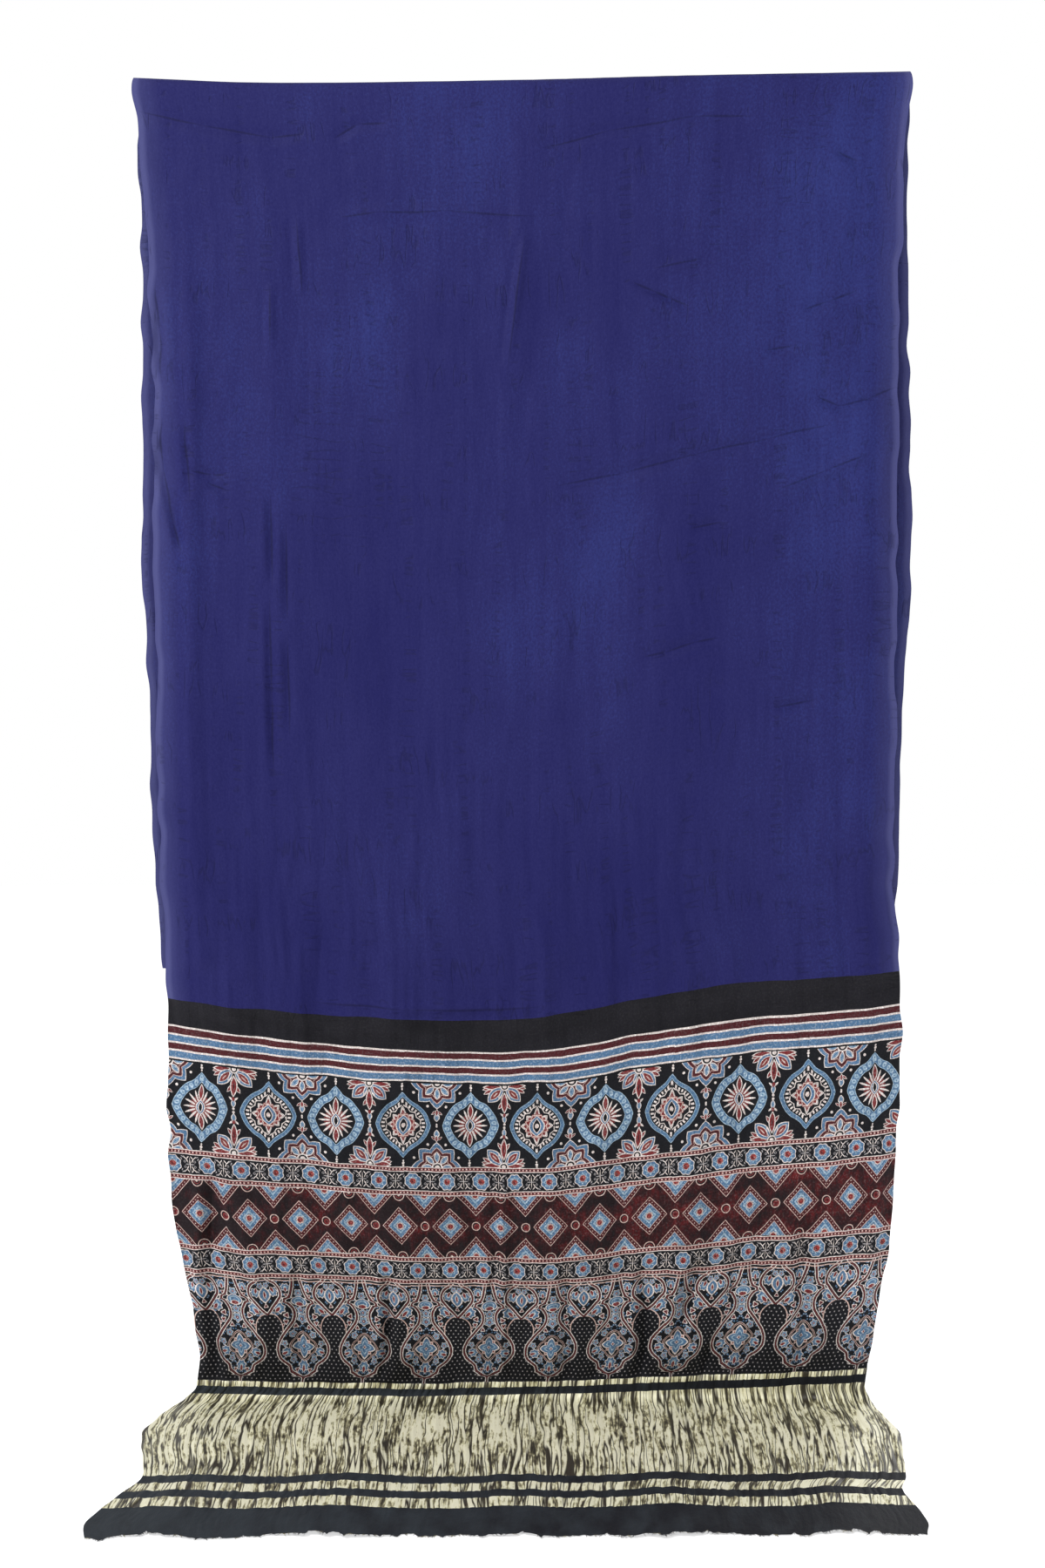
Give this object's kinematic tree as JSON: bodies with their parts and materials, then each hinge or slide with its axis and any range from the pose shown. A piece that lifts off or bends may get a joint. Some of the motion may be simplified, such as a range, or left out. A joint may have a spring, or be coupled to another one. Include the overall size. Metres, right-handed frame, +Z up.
{
  "type": "ajrakh cloth",
  "caption": "Long block-printed ajrakh cloth hung doubled over a rail, with a figured end, woven metallic bands and a cut edge that trails on the floor.",
  "frame": {"origin": "middle of the top fold, on the cloth", "axes": "+X along the top fold to the viewer's right, +Y from the front fall to the back fall, +Z up; the end on the floor reaches towards -Y"},
  "size_m": [1.1132, 0.5839, 1.8903],
  "materials": {
    "cloth": "soft silk with a faint sheen, dyed indigo, block printed at one end, with metallic weft bands"
  },
  "bodies": {
    "root": {"cloth": "cloth"}
  },
  "joints": []
}
